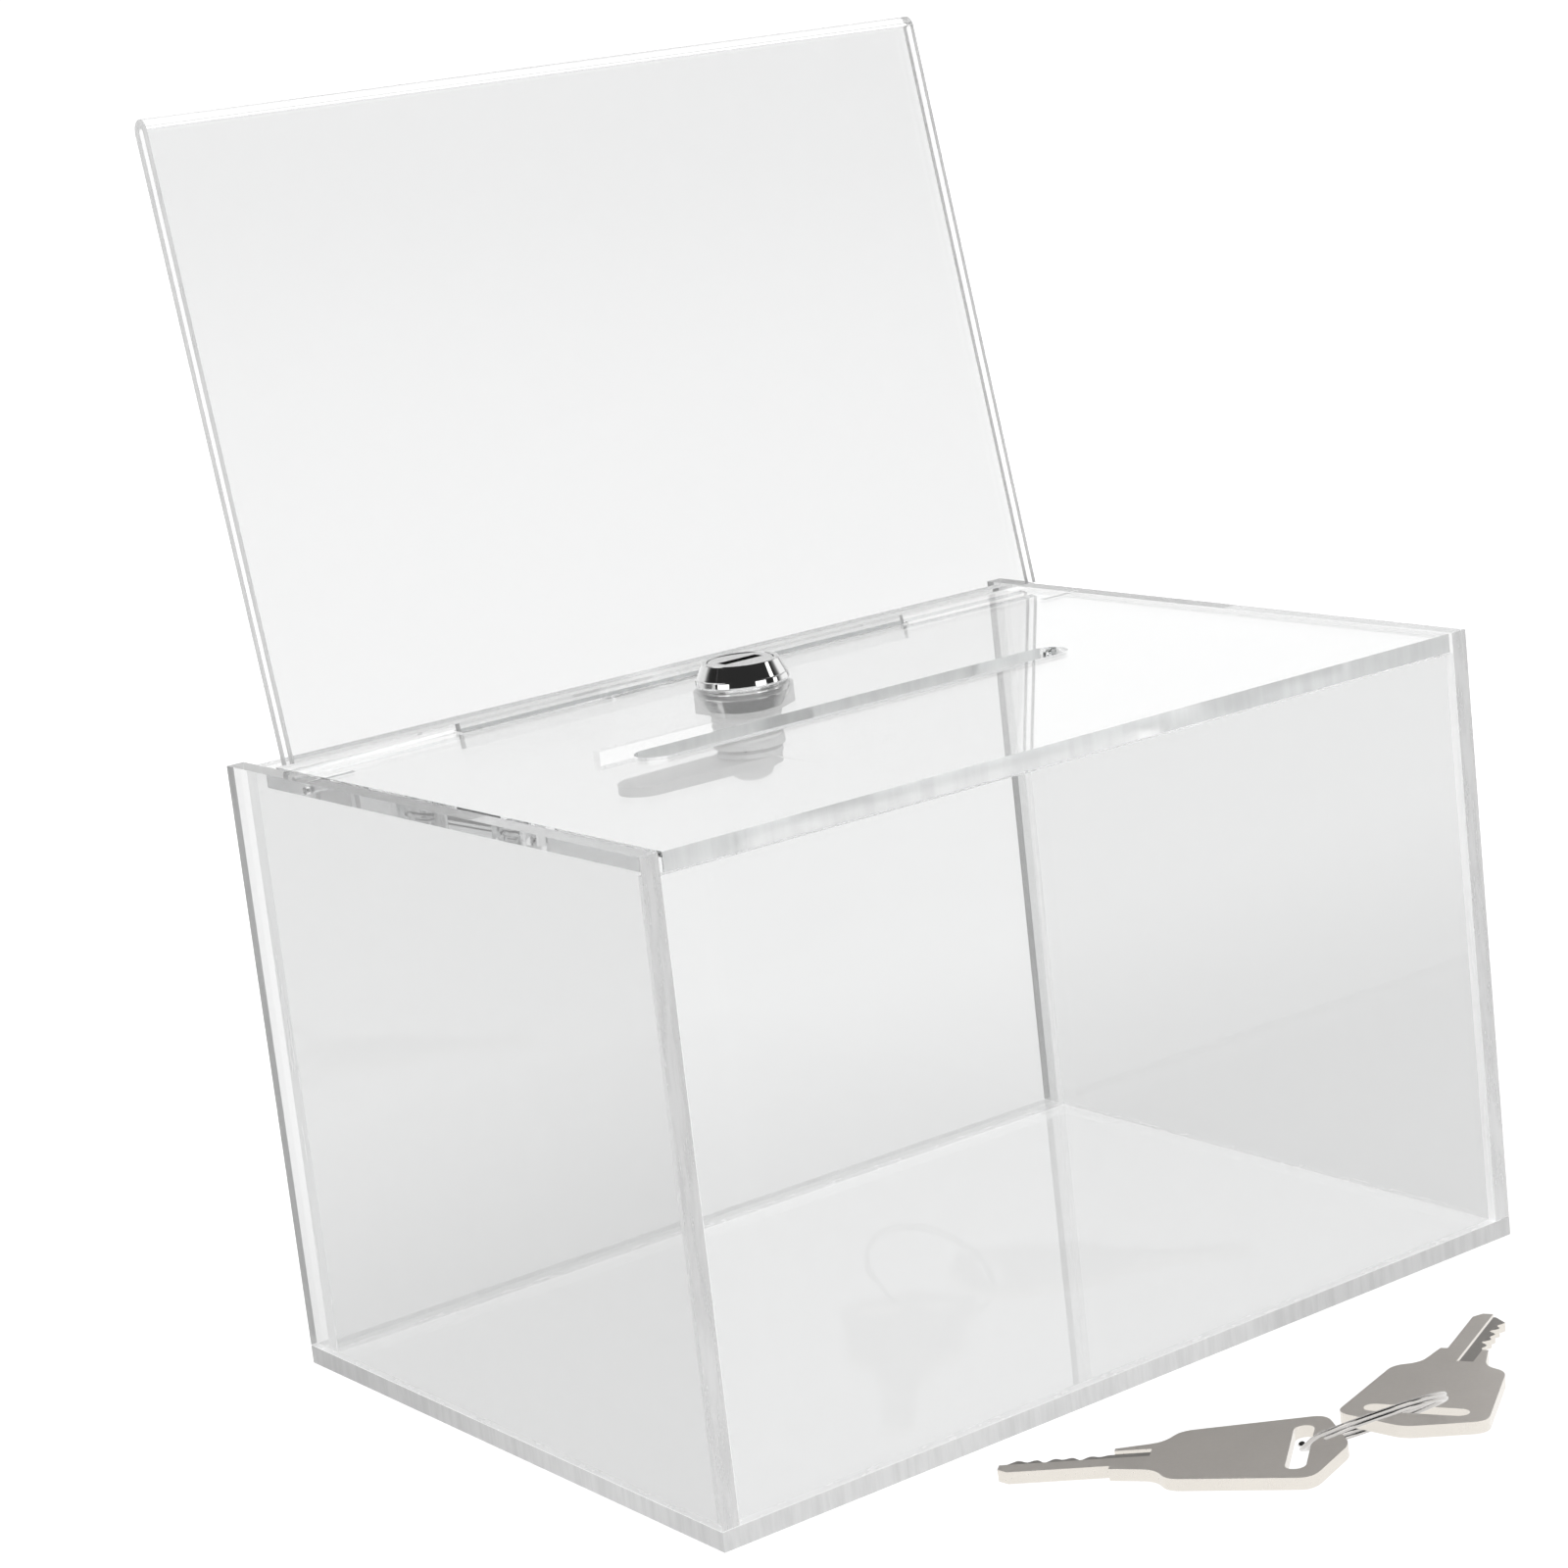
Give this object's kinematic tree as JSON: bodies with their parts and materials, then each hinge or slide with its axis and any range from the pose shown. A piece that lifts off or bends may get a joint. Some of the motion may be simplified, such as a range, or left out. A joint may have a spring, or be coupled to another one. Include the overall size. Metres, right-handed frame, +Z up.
{
  "type": "donation box",
  "caption": "Clear acrylic donation box with a hinged lid, pay slot, cam lock, leaning pull-out sign holder and keys on a ring.",
  "frame": {"origin": "centre of the box's footprint, on the underside of the bottom plate, on the surface that the box stands on", "axes": "+X to the right seen from the front, -Y to the front where the lid opens, +Y to the sign holder, +Z up"},
  "size_m": [0.1574, 0.1806, 0.2009],
  "materials": {
    "bottom_plate": "clear cast acrylic, polished",
    "front_wall": "clear cast acrylic, polished",
    "left_wall": "clear cast acrylic, polished",
    "right_wall": "clear cast acrylic, polished",
    "rear_plate": "clear cast acrylic, polished",
    "lid": "clear cast acrylic, polished",
    "sign_holder": "clear cast acrylic, polished",
    "hinge_pins": "bright steel pin",
    "lock_chrome": "bright chrome plate",
    "lock_steel": "zinc-plated steel",
    "wafer_brass": "stamped brass",
    "key_nickel": "nickel-plated, satin",
    "ring_steel": "nickel-plated wire"
  },
  "bodies": {
    "box": {"bottom_plate": "bottom_plate", "front_wall": "front_wall", "left_wall": "left_wall", "right_wall": "right_wall", "rear_plate": "rear_plate", "hinge_pin_left": "hinge_pins", "hinge_pin_right": "hinge_pins"},
    "lid": {"lid": "lid", "lock_housing": "lock_chrome", "lock_washer": "lock_steel", "lock_nut": "lock_steel"},
    "plug": {"lock_plug": "lock_chrome", "wafer_1": "wafer_brass", "wafer_2": "wafer_brass", "wafer_3": "wafer_brass", "wafer_4": "wafer_brass", "stop_plate": "lock_steel", "cam": "lock_steel", "cam_washer": "lock_steel", "cam_screw": "lock_steel"},
    "sign": {"sign_holder": "sign_holder"},
    "ring": {"key_ring": "ring_steel"},
    "key_1": {"key_1": "key_nickel"},
    "key_2": {"key_2": "key_nickel"}
  },
  "joints": [
    {"name": "lid_hinge", "type": "hinge", "parent": "box", "child": "lid", "pos_m": [0, 0.03405, 0.09855], "axis": [-1, 0, 0], "range_deg": [0, 24]},
    {"name": "lock_turn", "type": "hinge", "parent": "lid", "child": "plug", "pos_m": [0, 0.02725, 0.09], "axis": [0, 0, -1], "range_deg": [0, 90]},
    {"name": "sign_pull", "type": "slide", "parent": "lid", "child": "sign", "axis": [0, 0.1857, 0.9826], "range_m": [0, 0.03]},
    {"name": "keyring_lift", "type": "slide", "parent": "box", "child": "ring", "axis": [0, 0, 1], "range_m": [0, 0.05]},
    {"name": "key_1_swing", "type": "hinge", "parent": "ring", "child": "key_1", "pos_m": [-0.00759, -0.09926, 0.00293], "axis": [0.6931, 0.5946, -0.4076], "range_deg": [0, 12]},
    {"name": "key_2_swing", "type": "hinge", "parent": "ring", "child": "key_2", "pos_m": [0.00943, -0.10226, 0.00293], "axis": [0.4479, -0.7958, 0.4076], "range_deg": [0, 12]}
  ]
}
